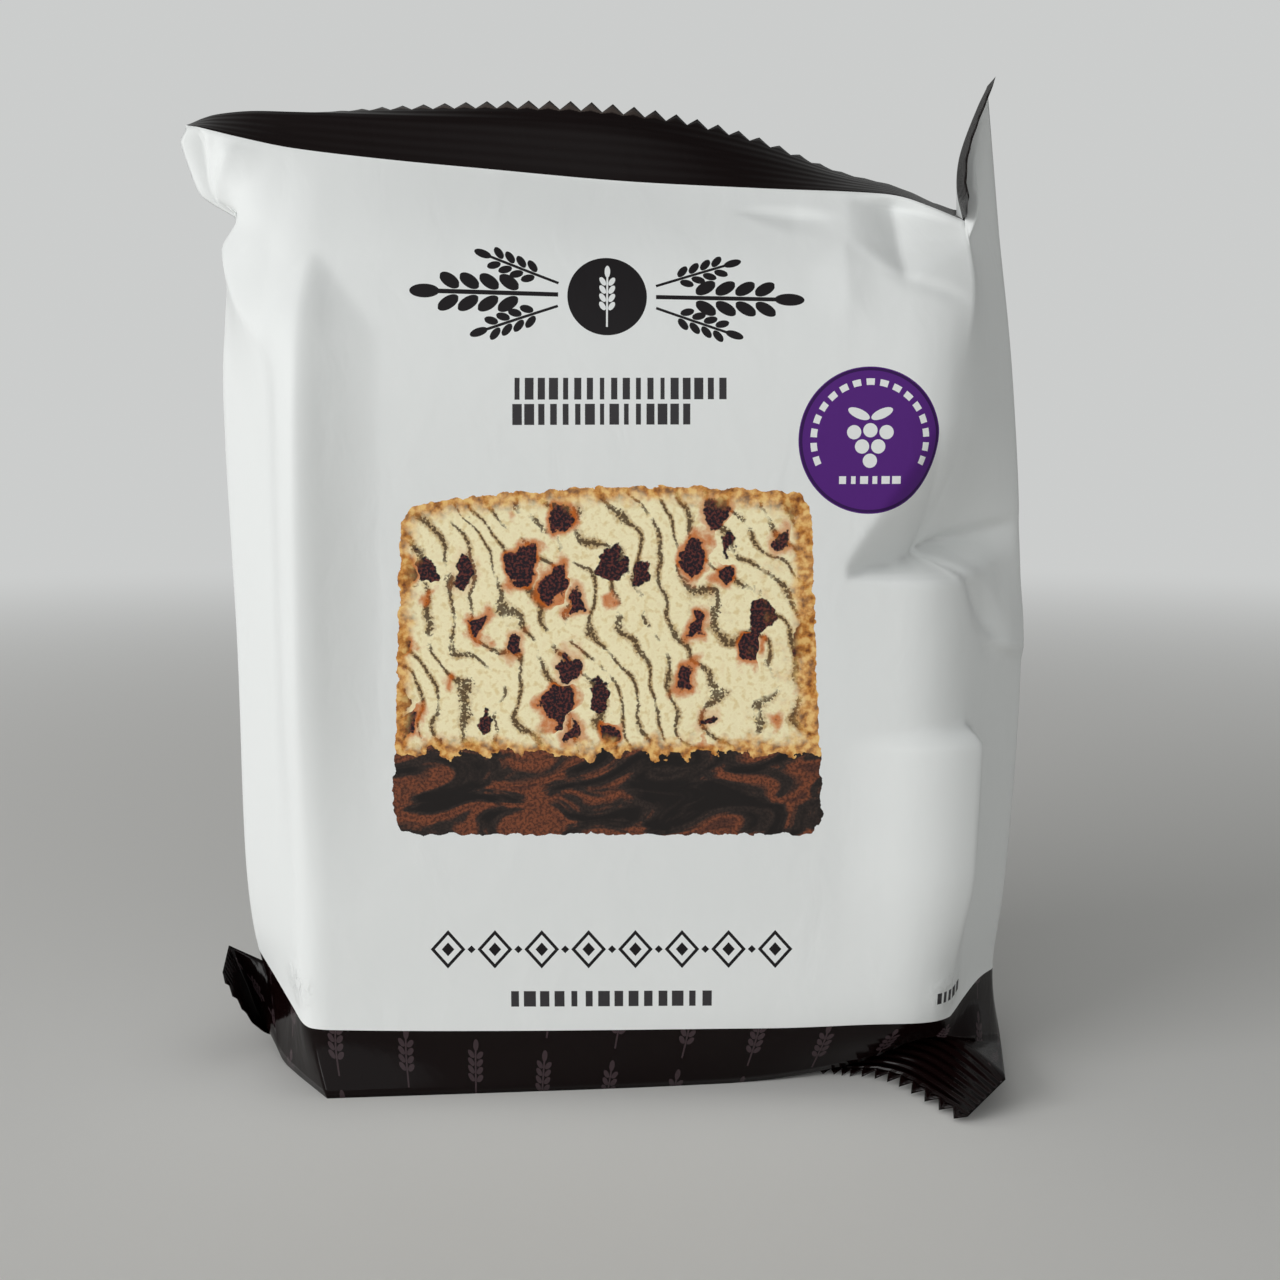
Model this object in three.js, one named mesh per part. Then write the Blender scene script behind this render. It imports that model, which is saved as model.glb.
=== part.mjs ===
// A pillow pack of sliced wholemeal bread, standing on its lower end. Millimetres, +Z up, front towards -Y,
// origin on the floor under the middle of the pack.
//
// The pack is one tube of printed film round a block of bread, pressed flat and sealed at each end. It is
// modelled the way it is made: every point of the film has a place ACROSS the tube, from the left fold to
// the right fold, on the front or the back layer, and a ROW up the tube, from the lower cut edge to the
// upper one. Seven lines across the film are set by stations, and the film is drawn smoothly through them.
import * as THREE from 'three';
import { ParametricGeometry } from 'three/addons/geometries/ParametricGeometry.js';
import { mergeVertices } from 'three/addons/utils/BufferGeometryUtils.js';

// ---- driving dimensions -------------------------------------------------------------------------------
const FOLD = 66;             // middle of the tube to its side fold, along the film
const PANEL = 43;            // middle to the edge of the flat front panel
const DEPTH = 36;            // front panel to back panel
const SIDE = 57;             // middle to the side fold where the pack is full
const EDGE_RADIUS = { left: 4, right: 7.5 };   // rounding, along the film, between a panel and its bevels
const FOLD_RADIUS = 4;       // rounding at the side folds
const BEVEL_TURN = THREE.MathUtils.degToRad(52);

const SEAL_HEIGHT = 12;      // root to cut edge
const SEAL_THICKNESS = 0.8;
const SEAL_LEVEL = SEAL_THICKNESS / 2;  // the lower seal's middle, where it lies flat on the floor
const SEAL_CREASE = 0.58;    // share of the upper seal that stands before it bends over
const TOOTH_PITCH = 3;
const TOOTH_DEPTH = 1.7;

const PRINT_LEVEL = 9;       // top of the dark band round the foot
const LOW_LEVEL = 25;
const MIDDLE_LEVEL = 60;
const SHOULDER_LEVEL = 98;   // the panels begin to lean in towards the upper seal
const SHOULDER_SHARE = 0.52; // how far up from there to the seal the shoulder line lies
const SHOULDER_BULGE = 3;
const NECK = 2.7;            // the tube is drawn in under the left ear
const FOOT_HOLLOW = 1.2;     // the folded seal lies in a shallow hollow of the foot

const BACK_SEAM = { from: 0, to: 12, height: 0.8, ramp: 1.5 };  // the lengthwise seal, folded flat

const STAND = [2.8, 4.2, 0]; // from the middle of the tube to the middle of the whole pack, ears included

const FRONT = -1;
const BACK = 1;

// ---- smooth curves through stations -------------------------------------------------------------------
// Stations are [place, value, value, ...], in order. A station in creases has a sharp turn.
function through(stations, creases = []) {
  const last = stations.length - 1;
  const slope = (i, j, k) => (stations[j][k] - stations[i][k]) / (stations[j][0] - stations[i][0]);
  const tangent = (i, k, side) => {
    if (i === 0) return slope(0, 1, k);
    if (i === last) return slope(last - 1, last, k);
    if (creases.includes(stations[i][0])) return side < 0 ? slope(i - 1, i, k) : slope(i, i + 1, k);
    return slope(i - 1, i + 1, k);
  };
  return (place) => {
    const at = THREE.MathUtils.clamp(place, stations[0][0], stations[last][0]);
    let i = 0;
    while (i < last - 1 && stations[i + 1][0] < at) i += 1;
    const length = stations[i + 1][0] - stations[i][0];
    const u = (at - stations[i][0]) / length;
    return stations[i].slice(1).map((value, n) => {
      const k = n + 1;
      const rise = stations[i + 1][k] - value;
      const out = tangent(i, k, 1) * length;
      const into = tangent(i + 1, k, -1) * length;
      return value + u * (out + u * (3 * rise - 2 * out - into + u * (out + into - 2 * rise)));
    });
  };
}

const vector = (values) => new THREE.Vector3(...values);
const ease = (x, from, to) => THREE.MathUtils.smoothstep(x, from, to);
const mix = (a, b, share) => a + (b - a) * share;

// ---- the lines across the film ------------------------------------------------------------------------
// Upper seal's root: it rises to the left ear, dips to a pinch on the right and turns up into the right ear.
const PINCH = 46;
const upperRoot = through([
  [-FOLD, -61.5, 1, 133.5],
  [-54, -53.2, -1, 131.2],
  [-46, -46, -2, 129.6],
  [-33, -33, -3, 127.9],
  [-20, -19.8, -3, 126.7],
  [0, 0, -3, 125],
  [19, 18.9, -3.5, 123.9],
  [35, 35, -5, 122.9],
  [39, 39, -6, 122],
  [PINCH, 46.2, -8, 118.8],
  [51, 45.5, -6.5, 123.6],
  [56, 46.4, -4.5, 128.7],
  [FOLD, 50.7, 0, 138.5],
], [PINCH]);

// How the upper seal leans, in degrees from upright: below its crease and above it, back of the root being
// positive. Then its slant sideways and its width as a share of the whole. It flips forward at the pinch.
const upperLean = through([
  [-FOLD, 76, 80, -0.28, 1],
  [-60, 58, 80, -0.15, 1],
  [-46, 34, 78, 0, 1],
  [-33, 24, 59, 0, 1],
  [-9, 10, 33, 0, 1],
  [2, 12, 32, 0, 1],
  [18, 37, 45, 0, 1],
  [32, 64, 68, 0, 1],
  [43, 75, 75, 0.1, 1],
  [PINCH, 0, 0, 0, 0.12],
  [49, -98, -98, -0.15, 0.95],
  [FOLD, -98, -98, -0.17, 0.97],
]);

// Lower seal's root: flat under the pack, turned up at the left ear and pulled forward at the right ear.
const lowerRoot = through([
  [-FOLD, -59.5, 0, 14.5],
  [-60, -57.2, -0.5, 9],
  [-53, -54, -1, 2.6],
  [-46, -46.5, 0, 0.8],
  [-40, -40, 1, SEAL_LEVEL],
  [-30, -30, 1, SEAL_LEVEL],
  [0, 0, 1, SEAL_LEVEL],
  [18, 18, 0, SEAL_LEVEL],
  [26, 26, -1, SEAL_LEVEL],
  [38, 37, -4.5, 2.6],
  [46, 43, -9, 5],
  [54, 46.8, -14.5, 6],
  [FOLD, 51, -25, 4.8],
]);

// The lower seal from its root to its cut edge. It lies folded forward under the pack.
const lowerReach = through([
  [-FOLD, 2, -10.5, -1],
  [-60, 1.6, -9.5, 0.5],
  [-54, 1, -5, 0.6],
  [-50, 0.3, -2.5, -0.3],
  [-44, 0, -9, 0],
  [-36, 0, -11.8, 0],
  [-30, 0, -11.8, 0],
  [18, 0, -11.8, 0],
  [24, -0.5, -11.8, 0],
  [33, -3.5, -10.8, -1.2],
  [42, -7.5, -7.6, -3.6],
  [54, -8, -4.5, -5.5],
  [FOLD, -6.6, -3.5, -4.4],
]);

// The fold round the foot of the pack. The two ends are shared by the front and the back.
const footLeft = [-52.5, -2, 12.2];
const footRight = [55, -7, 3];
const frontFoot = through([
  [-FOLD, ...footLeft],
  [-60, -51, -7, 5.5],
  [-54, -50, -8.5, 1],
  [-48, -46, -13.5, 0],
  [-43, -40.5, -20.5, 0],
  [0, 0, -17.3, 0],
  [20, 19.5, -15.2, 0.2],
  [34, 33.5, -13.5, 2.2],
  [43, 42, -15.5, 6.5],
  [52, 48.5, -14, 5.5],
  [60, 52.8, -10, 3.8],
  [FOLD, ...footRight],
], [-43]);
const backFoot = through([
  [-FOLD, ...footLeft],
  [-56, -50, 7, 1.5],
  [-46, -44, 14, 0],
  [-40, -39.5, 16.5, 0],
  [40, 39.5, 16.5, 0],
  [46, 44, 14, 0],
  [58, 52, 6, 0.3],
  [FOLD, ...footRight],
]);

// ---- the body -----------------------------------------------------------------------------------------
// Half of the cross-section, from the middle of a panel round to a side fold, by its length along the film:
// the film's direction turns by BEVEL_TURN at the panel's edge and squarely back at the side fold.
const SECTION_STEP = 0.5;
function filmTurn(across) {
  const along = Math.abs(across);
  const radius = across < 0 ? EDGE_RADIUS.left : EDGE_RADIUS.right;
  return BEVEL_TURN * ease(along, PANEL - radius, PANEL + radius)
    + (Math.PI / 2 - BEVEL_TURN) * ease(along, FOLD - FOLD_RADIUS, FOLD);
}
function halfSection(side) {
  const points = [[0, 0]];
  for (let along = SECTION_STEP / 2; along < FOLD; along += SECTION_STEP) {
    const [x, y] = points.at(-1);
    const turn = filmTurn(side * along);
    points.push([x + Math.cos(turn) * SECTION_STEP, y + Math.sin(turn) * SECTION_STEP]);
  }
  return points;
}
const leftSection = halfSection(-1);
const rightSection = halfSection(1);

// Where the side folds stand at a level, from the middle: a list for the left and one for the right.
const leftSide = through([[PRINT_LEVEL, 54], [15.6, 54.8], [25, 56], [60, 56.3], [98, 57], [115, 57.3]]);
const rightSide = through([
  [PRINT_LEVEL, 54.6],
  [17, 56],
  [25, 56.5],
  [45, 57.5],
  [60, 57.8],
  [80, 56.3],
  [98, 55.3],
]);
// How high the dark band's upper edge is across the film. It climbs on the left bevel.
const printEdge = through([
  [-FOLD, 15.6],
  [-58, 13],
  [-50, 10.5],
  [-43, 8.8],
  [20, 9],
  [37, 9.6],
  [47, 9.3],
  [52, 10.8],
  [58, 12],
  [FOLD, 11.6],
], [47]);

// A point of the full section at a level.
function ring(across, layer, level) {
  const section = across < 0 ? leftSection : rightSection;
  const [sectionSide, sectionDepth] = section.at(-1);
  const along = Math.abs(across) / SECTION_STEP;
  const i = Math.min(Math.floor(along), section.length - 2);
  const x = mix(section[i][0], section[i + 1][0], along - i) * (SIDE / sectionSide);
  const y = mix(section[i][1], section[i + 1][1], along - i) / sectionDepth;
  const [side] = (across < 0 ? leftSide : rightSide)(level);
  const reach = x > PANEL ? PANEL + (x - PANEL) * (side - PANEL) / (SIDE - PANEL) : x;
  return new THREE.Vector3(Math.sign(across) * reach, layer * (1 - y) * DEPTH / 2, level);
}

// The way out of the pack at a place of the section.
function outward(across, layer) {
  const turn = filmTurn(across);
  return new THREE.Vector3(Math.sign(across) * Math.sin(turn), layer * Math.cos(turn), 0);
}

// ---- pleats and dents ---------------------------------------------------------------------------------
// Each runs from a sharp tip to its end, [place round the tube, level]. The place is the one across the
// front, and past a side fold it goes on round the back. A rise below 0 is a valley. Flanks are the widths
// on the left and the right of the way from tip to end. Grows and fades are the shares of the length in
// which it grows from its tip and runs out at its end.
const pleats = [
  // the dent right of the middle, its crumple at the side fold and the corner below them
  { tip: [29.4, 71.6], end: [66, 78], rise: -8.4, flanks: [17, 3.6], grows: 0.4, fades: 0.6 },
  { tip: [46, 74.6], end: [66, 78.4], rise: -1.7, flanks: [1.5, 13], grows: 0.3, fades: 0.5 },
  { tip: [45, 74.6], end: [57, 60], rise: -1.4, flanks: [3.5, 4], grows: 0.5, fades: 0.3 },
  { tip: [50, 62.8], end: [66, 59], rise: 1.3, flanks: [10, 1.5], grows: 0.5, fades: 0.4 },
  { tip: [47, 51], end: [46, 12], rise: 3.2, flanks: [3.5, 17], grows: 0.07, fades: 0.5 },
  // gathers under the upper seal on the right
  { tip: [37.4, 110.5], end: [36.8, 136], rise: -2.5, flanks: [6.5, 10.5], grows: 0.22, fades: 0.45 },
  { tip: [29.6, 116], end: [29.6, 103], rise: 0.45, flanks: [4, 5], grows: 0.3, fades: 0.5 },
  { tip: [48.5, 116.5], end: [60, 138], rise: 2.4, flanks: [3.5, 6], grows: 0.25, fades: 0.2 },
  // the ear and the neck on the left, and the proud edge of the panel below them
  { tip: [-56, 120.8], end: [-80, 120.8], rise: -2.9, flanks: [14, 3], grows: 0.4, fades: 0.45 },
  { tip: [-62.5, 121], end: [-44, 97], rise: 2.3, flanks: [9, 11], grows: 0.35, fades: 0.5 },
  { tip: [-63, 121.5], end: [-50, 134], rise: 1.4, flanks: [5, 5], grows: 0.4, fades: 0.45 },
  { tip: [-63.6, 123], end: [-63.6, 146], rise: -1.4, flanks: [2.4, 2.4], grows: 0.4, fades: 0.45 },
  { tip: [-66, 120], end: [-66, 140], rise: 1.7, flanks: [6, 6], grows: 0.3, fades: 0.5 },
  { tip: [-41, 114], end: [-43, 22], rise: 2.2, flanks: [10, 7.5], grows: 0.12, fades: 0.45 },
  // the back
  { tip: [128, 70], end: [108, 95], rise: -1.8, flanks: [7, 7], grows: 0.4, fades: 0.45 },
  { tip: [-100, 40], end: [-118, 66], rise: -1.6, flanks: [7, 7], grows: 0.4, fades: 0.45 },
];

function pleatRise(around, level) {
  let total = 0;
  for (const { tip, end, rise, flanks, grows, fades } of pleats) {
    const line = new THREE.Vector2(end[0] - tip[0], end[1] - tip[1]);
    const offset = THREE.MathUtils.euclideanModulo(around - tip[0] + 2 * FOLD, 4 * FOLD) - 2 * FOLD;
    const point = new THREE.Vector2(offset, level - tip[1]);
    const share = point.dot(line) / line.lengthSq();
    if (share <= 0 || share >= 1) continue;
    const grown = Math.min(share / grows, 1);
    const right = point.cross(line) / line.length();
    const spread = flanks[right > 0 ? 1 : 0] * mix(0.08, 1, grown);
    const steep = rise * Math.sin(Math.PI / 2 * grown) * (1 - ease(share, 1 - fades, 1));
    total += steep * Math.max(0, 1 - Math.abs(right) / spread) ** 1.5;
  }
  return total;
}

function seamRise(across, layer) {
  const { from, to, height, ramp } = BACK_SEAM;
  return layer === BACK ? height * ease(across, from - ramp, from) * (1 - ease(across, to, to + ramp)) : 0;
}

// ---- the film -----------------------------------------------------------------------------------------
// Rows up the tube.
const LOWER_CUT = 0;
const LOWER_ROOT = 1;
const FOOT = 2;
const SHOULDER = 6;
const UPPER_ROOT = 8;
const UPPER_CUT = 9;

// A share of a seal's height, less what the knife takes out between the teeth of its cut edge.
function toothed(across, share) {
  const phase = THREE.MathUtils.euclideanModulo(across / TOOTH_PITCH, 1);
  return share - TOOTH_DEPTH / SEAL_HEIGHT * Math.abs(2 * phase - 1) * ease(share, 0.8, 1);
}

// Half the thickness of a seal as a vector towards a layer. It runs out at the side folds.
function sealOffset(across, layer, root, reach) {
  const step = 0.4;
  const along = vector(root(across + step)).sub(vector(root(across - step)));
  const thickness = SEAL_THICKNESS / 2 * (1 - ease(Math.abs(across), FOLD - TOOTH_PITCH, FOLD));
  const facing = along.cross(reach).normalize();
  return facing.multiplyScalar(-layer * thickness);
}

function upperReach(across, share) {
  const [low, high, slant, width] = upperLean(across);
  const lean = (degrees, length) => {
    const angle = THREE.MathUtils.degToRad(degrees);
    return new THREE.Vector3(slant, Math.sin(angle), Math.cos(angle)).setLength(length * SEAL_HEIGHT * width);
  };
  return lean(low, Math.min(share, SEAL_CREASE)).add(lean(high, Math.max(share - SEAL_CREASE, 0)));
}

function upperSeal(across, layer, share) {
  const full = upperReach(across, 1);
  const taper = share < 1 ? 1 : 0;
  return vector(upperRoot(across)).add(upperReach(across, toothed(across, share)))
    .addScaledVector(sealOffset(across, layer, upperRoot, full), taper);
}

function lowerSeal(across, layer, share) {
  const full = vector(lowerReach(across));
  const taper = share < 1 ? 1 : 0;
  return vector(lowerRoot(across)).addScaledVector(full, toothed(across, share))
    .addScaledVector(sealOffset(across, layer, lowerRoot, full), -taper);
}

// The film's lengthwise curve at one place across, from the foot to the upper seal's root.
function lengthwise(across, layer) {
  const shoulder = ring(across, layer, SHOULDER_LEVEL);
  const root = upperSeal(across, layer, 0);
  const bulge = SHOULDER_BULGE * (1 - (across / FOLD) ** 2) - NECK * ease(-across, 48, FOLD);
  const middle = shoulder.clone().lerp(root, SHOULDER_SHARE).addScaledVector(outward(across, layer), bulge);
  const foot = vector((layer === FRONT ? frontFoot : backFoot)(across));
  return new THREE.CatmullRomCurve3([
    foot,
    ring(across, layer, printEdge(across)[0]),
    ring(across, layer, LOW_LEVEL),
    ring(across, layer, MIDDLE_LEVEL),
    shoulder,
    middle,
    root,
  ]);
}

// The underside, from the lower seal's root out to the foot.
function underside(across, layer, share, foot) {
  const point = lowerSeal(across, layer, 0).lerp(foot, share);
  const hollow = layer === FRONT ? FOOT_HOLLOW * (1 - ease(Math.abs(across + 8), 36, 50)) : 0;
  point.z += hollow * Math.sin(Math.PI * share);
  return point;
}

function film(across, layer, row, curve) {
  if (row < LOWER_ROOT) return lowerSeal(across, layer, LOWER_ROOT - row);
  if (row > UPPER_ROOT) return upperSeal(across, layer, row - UPPER_ROOT);
  if (row < FOOT) return underside(across, layer, row - LOWER_ROOT, curve.getPoint(0));
  const point = curve.getPoint((row - FOOT) / (UPPER_ROOT - FOOT));
  const around = layer === FRONT ? across : Math.sign(across) * (2 * FOLD - Math.abs(across));
  const free = ease(row, FOOT, FOOT + 0.8) * (1 - ease(row, UPPER_ROOT - 0.14, UPPER_ROOT));
  const rise = (pleatRise(around, point.z) + seamRise(across, layer)) * free;
  return point.addScaledVector(outward(across, layer), rise);
}

// ---- the closed surface -------------------------------------------------------------------------------
const rows = [LOWER_CUT, 0.5, LOWER_ROOT, 1.5, FOOT, 2.5, 3, 3.33, 3.67];
for (let step = 0; step < 8; step += 1) rows.push(4 + step / 8);
for (let step = 0; step < 12; step += 1) rows.push(5 + step / 12);
for (let step = 0; step < 10; step += 1) rows.push(SHOULDER + step / 5);
rows.push(UPPER_ROOT, UPPER_ROOT + SEAL_CREASE / 2, UPPER_ROOT + SEAL_CREASE, UPPER_CUT);

const COLUMNS = 2 * (2 * FOLD) / TOOTH_PITCH;   // two to a tooth
const CRUMPLED = 60;                            // the first column of the front's crumpled side
const curves = new Map();
function curveAt(across, layer) {
  const key = `${across} ${layer}`;
  if (!curves.has(key)) curves.set(key, lengthwise(across, layer));
  return curves.get(key);
}

// u goes once round the tube, v up it. Away from the cut edges and the crumpled side of the front, each
// pair of columns is drawn as one. Film that would sink into the floor lies flat on it.
function surface(u, v, target) {
  const row = rows[Math.round(v * (rows.length - 1))];
  const cut = row === LOWER_CUT || row === UPPER_CUT;
  const turn = Math.round(u * 2 * COLUMNS) % (2 * COLUMNS);
  const layer = turn < COLUMNS ? FRONT : BACK;
  const column = layer === FRONT ? turn : 2 * COLUMNS - turn;
  const single = cut || (layer === FRONT && column > CRUMPLED);
  const kept = single ? column : 2 * Math.floor(column / 2);
  const across = kept * TOOTH_PITCH / 2 - FOLD;
  target.copy(film(across, layer, row, curveAt(across, layer)));
  target.z = Math.max(target.z, 0);
}

// Joins the two layers at the folds and cut edges, and drops the empty triangles of the paired columns.
function closed(geometry) {
  geometry.deleteAttribute('normal');
  geometry.deleteAttribute('uv');
  const merged = mergeVertices(geometry, 1e-3);
  const corners = Array.from(merged.index.array);
  const kept = [];
  for (let i = 0; i < corners.length; i += 3) {
    const [a, b, c] = corners.slice(i, i + 3);
    if (a !== b && b !== c && c !== a) kept.push(a, b, c);
  }
  merged.setIndex(kept);
  merged.computeVertexNormals();
  return merged;
}

const packGeometry = closed(new ParametricGeometry(surface, 2 * COLUMNS, rows.length - 1));
const whiteFilm = new THREE.MeshStandardMaterial({ color: 0xd0d2d1, roughness: 0.5, metalness: 0 });
const pack = new THREE.Mesh(packGeometry, whiteFilm);
pack.name = 'pack';
pack.position.set(...STAND);

const breadPack = new THREE.Group();
breadPack.add(pack);

export default breadPack;
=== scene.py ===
from math import cos, floor, pi, radians, sin, sqrt

import bmesh
import bpy
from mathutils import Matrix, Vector


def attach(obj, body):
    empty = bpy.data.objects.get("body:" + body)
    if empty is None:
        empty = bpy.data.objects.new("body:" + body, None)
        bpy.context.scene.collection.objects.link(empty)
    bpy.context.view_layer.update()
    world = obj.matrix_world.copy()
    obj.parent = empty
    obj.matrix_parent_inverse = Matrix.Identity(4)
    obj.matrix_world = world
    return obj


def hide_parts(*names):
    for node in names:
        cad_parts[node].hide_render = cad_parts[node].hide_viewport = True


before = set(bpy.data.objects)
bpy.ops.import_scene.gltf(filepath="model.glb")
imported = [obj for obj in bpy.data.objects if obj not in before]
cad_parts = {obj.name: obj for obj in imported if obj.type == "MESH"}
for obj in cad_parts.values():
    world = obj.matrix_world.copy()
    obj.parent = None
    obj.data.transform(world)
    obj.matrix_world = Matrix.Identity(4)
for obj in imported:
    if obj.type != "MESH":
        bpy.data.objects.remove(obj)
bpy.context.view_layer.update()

MM = 0.001
STAND = Vector((2.8, 4.2, 0))   # from the pack's own origin to the middle of the film tube, in mm


# ---- Camera -------------------------------------------------------------------------------------------
# A phone held 20 cm in front of the pack, a little above its middle and tipped down a little. The picture
# is square.
PICTURE = 1280
FOCAL = 1385        # in pixels of that picture
SENSOR = 36
EYE = Vector((2.3, -201, 85.4))
TIPPED = radians(7)
NEAREST = 10

lens = bpy.data.cameras.new("camera")
lens.sensor_width = SENSOR
lens.lens = SENSOR * FOCAL / PICTURE
lens.clip_start = NEAREST * MM
camera = bpy.data.objects.new("camera", lens)
camera.location = (EYE + STAND) * MM
camera.rotation_euler = (pi / 2 - TIPPED, 0, 0)
bpy.context.scene.collection.objects.link(camera)
bpy.context.scene.camera = camera
bpy.context.scene.view_settings.view_transform = "Standard"


# ---- Floor and light ----------------------------------------------------------------------------------
# A plain pale table in a pale room. A wide window stands on the left. The room is bright on the side of
# the camera and dim overhead and on the right, so the bevel on the right keeps about half of the light.
BACKDROP = (0.60, 0.61, 0.605, 1)
BRIGHT_SIDE = (0.885, 0.9, 0.895, 1)
DIM_SIDE = (0.2, 0.203, 0.2, 1)
TO_BRIGHT_SIDE = (-0.4, -0.86, -0.3)
ROOM_FADE = (-0.3, 0.95)      # how far a direction goes along that one where the room is dim and bright
TABLE = (0.8, 0.79, 0.77, 1)
TABLE_RADIUS = 3              # in metres, as the next four are
TABLE_FADE = (0.12, 1.1)      # from the pack, where the table runs into the backdrop
WINDOW_PLACE = Vector((-1.0, -0.62, 0.3))
WINDOW_AIM = Vector((0, 0, 0.06))
WINDOW_SIZE = (0.7, 0.8)
WINDOW_WATTS = 8.6
BLACK = (0, 0, 0, 1)


class Drawing:
    """Writes formulas and shapes as shader nodes in one node tree."""

    def __init__(self, tree):
        self.tree = tree

    def fill(self, node, inputs):
        """Links or sets a node's inputs."""
        for name, value in inputs.items():
            if isinstance(value, bpy.types.NodeSocket):
                self.tree.links.new(value, node.inputs[name])
            else:
                node.inputs[name].default_value = value

    def add(self, kind, inputs, **settings):
        """A new node's outputs."""
        node = self.tree.nodes.new(kind if kind.startswith("Node") else "ShaderNode" + kind)
        for name, value in settings.items():
            setattr(node, name, value)
        self.fill(node, inputs)
        return node.outputs

    def maths(self, operation, *values):
        return self.add("Math", dict(enumerate(values)), operation=operation)[0]

    def vectors(self, operation, *values):
        outputs = self.add("VectorMath", dict(enumerate(values)), operation=operation)
        return outputs["Value" if operation in ("LENGTH", "DOT_PRODUCT") else "Vector"]

    def place(self, point, centre, size=(1, 1), turn=0):
        """The point as seen from a shape at a centre, turned and stretched to a size."""
        return self.add("Mapping", {
            "Vector": point,
            "Location": (*centre, 0),
            "Rotation": (0, 0, radians(turn)),
            "Scale": (*size, 1),
        }, vector_type="TEXTURE")[0]

    def either(self, *masks):
        """The masks joined, or the largest of any values."""
        joined = masks[0]
        for mask in masks[1:]:
            joined = self.maths("MAXIMUM", joined, mask)
        return joined

    def both(self, *masks):
        """The place that all masks share, or the product of any values."""
        joined = masks[0]
        for mask in masks[1:]:
            joined = self.maths("MULTIPLY", joined, mask)
        return joined

    def oval(self, point, centre, size, turn=0):
        return self.maths("LESS_THAN", self.vectors("LENGTH", self.place(point, centre, size, turn)), 1)

    def box_distance(self, point, centre, size, corner=0, turn=0):
        """How far a point is outside a rounded box of a half size. Below 0 it is inside."""
        local = self.vectors("ABSOLUTE", self.place(point, centre, turn=turn))
        over = self.vectors("SUBTRACT", local, (size[0] - corner, size[1] - corner, 0))
        if corner:
            outside = self.vectors("LENGTH", self.vectors("MAXIMUM", over, (0, 0, 0)))
            return self.maths("SUBTRACT", outside, corner)
        parts = self.add("SeparateXYZ", {"Vector": over})
        return self.maths("MAXIMUM", parts["X"], parts["Y"])

    def box(self, point, centre, size, corner=0, turn=0):
        return self.maths("LESS_THAN", self.box_distance(point, centre, size, corner, turn), 0)

    def near(self, value, middle, half_width):
        """1 within a half width of a middle value, 0 elsewhere."""
        return self.maths("COMPARE", value, middle, half_width)

    def fade(self, value, start, end):
        """0 below start, 1 above end."""
        return self.add("MapRange", {"Value": value, "From Min": start, "From Max": end},
                        interpolation_type="SMOOTHSTEP")[0]

    def outside(self, value, start, end):
        """1 below start, 0 above end."""
        return self.maths("SUBTRACT", 1, self.fade(value, start, end))

    def mixed(self, share, under, over):
        """A colour over another, as strong as its share."""
        return self.add("Mix", {0: share, 6: under, 7: over}, data_type="RGBA")[2]

    def ramp(self, value, stops):
        """The colour between (value, colour) stops."""
        node = self.tree.nodes.new("ShaderNodeValToRGB")
        while len(node.color_ramp.elements) < len(stops):
            node.color_ramp.elements.new(0.5)
        for element, (position, colour) in zip(node.color_ramp.elements, stops):
            element.position = position
            element.color = colour
        self.tree.links.new(value, node.inputs[0])
        return node.outputs[0]

    def noise(self, point, scale, detail=2, distortion=0, output=0):
        """Cloudy noise. Output 0 is a value and output 1 a colour."""
        return self.add("TexNoise", {
            "Vector": point, "Scale": scale, "Detail": detail, "Distortion": distortion,
        }, noise_dimensions="2D")[output]


world = bpy.data.worlds.new("room")
bpy.context.scene.world = world
world.use_nodes = True
room = Drawing(world.node_tree)
towards = room.vectors("DOT_PRODUCT", room.add("TexCoord", {})["Generated"], TO_BRIGHT_SIDE)
walls = room.mixed(room.fade(towards, *ROOM_FADE), DIM_SIDE, BRIGHT_SIDE)
seen = room.mixed(room.add("LightPath", {})["Is Camera Ray"], walls, BACKDROP)
room.fill(world.node_tree.nodes["Background"], {"Color": seen})

window = bpy.data.lights.new("window", "AREA")
window.shape = "RECTANGLE"
window.size, window.size_y = WINDOW_SIZE
window.energy = WINDOW_WATTS
lamp = bpy.data.objects.new("window", window)
lamp.location = WINDOW_PLACE
lamp.rotation_euler = (WINDOW_AIM - WINDOW_PLACE).to_track_quat("-Z", "Y").to_euler()
bpy.context.scene.collection.objects.link(lamp)

top = bmesh.new()
bmesh.ops.create_circle(top, cap_ends=True, segments=64, radius=TABLE_RADIUS)
table_mesh = bpy.data.meshes.new("table")
top.to_mesh(table_mesh)
top.free()
table = bpy.data.objects.new("table", table_mesh)
bpy.context.scene.collection.objects.link(table)

tabletop = bpy.data.materials.new("tabletop")
tabletop.use_nodes = True
board = Drawing(tabletop.node_tree)
far = board.fade(board.vectors("LENGTH", board.add("TexCoord", {})["Object"]), *TABLE_FADE)
board.fill(tabletop.node_tree.nodes["Principled BSDF"], {
    "Base Color": board.mixed(far, TABLE, BLACK),
    "Roughness": 1,
    "Specular IOR Level": 0,
    "Emission Color": BACKDROP,
    "Emission Strength": far,
})
table_mesh.materials.append(tabletop)


# ---- The film tube ------------------------------------------------------------------------------------
# One sheet of printed film goes round the bread as a tube and is crimped flat and cut with a toothed
# knife at each end. A point of the film has a place across the tube, from the left fold to the right
# fold, on the front or back layer, and a row up the tube, from the lower cut edge to the upper one.
# Sizes are in mm.
FOLD = 66             # middle of the tube to its side fold, along the film
PANEL = 43            # middle to the edge of the flat panel
DEPTH = 36
SIDE = 57             # middle to the side fold where the pack is full
EDGE_RADIUS = (7.5, 4)      # on the right and on the left
FOLD_RADIUS = 4
BEVEL_TURN = radians(52)

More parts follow.
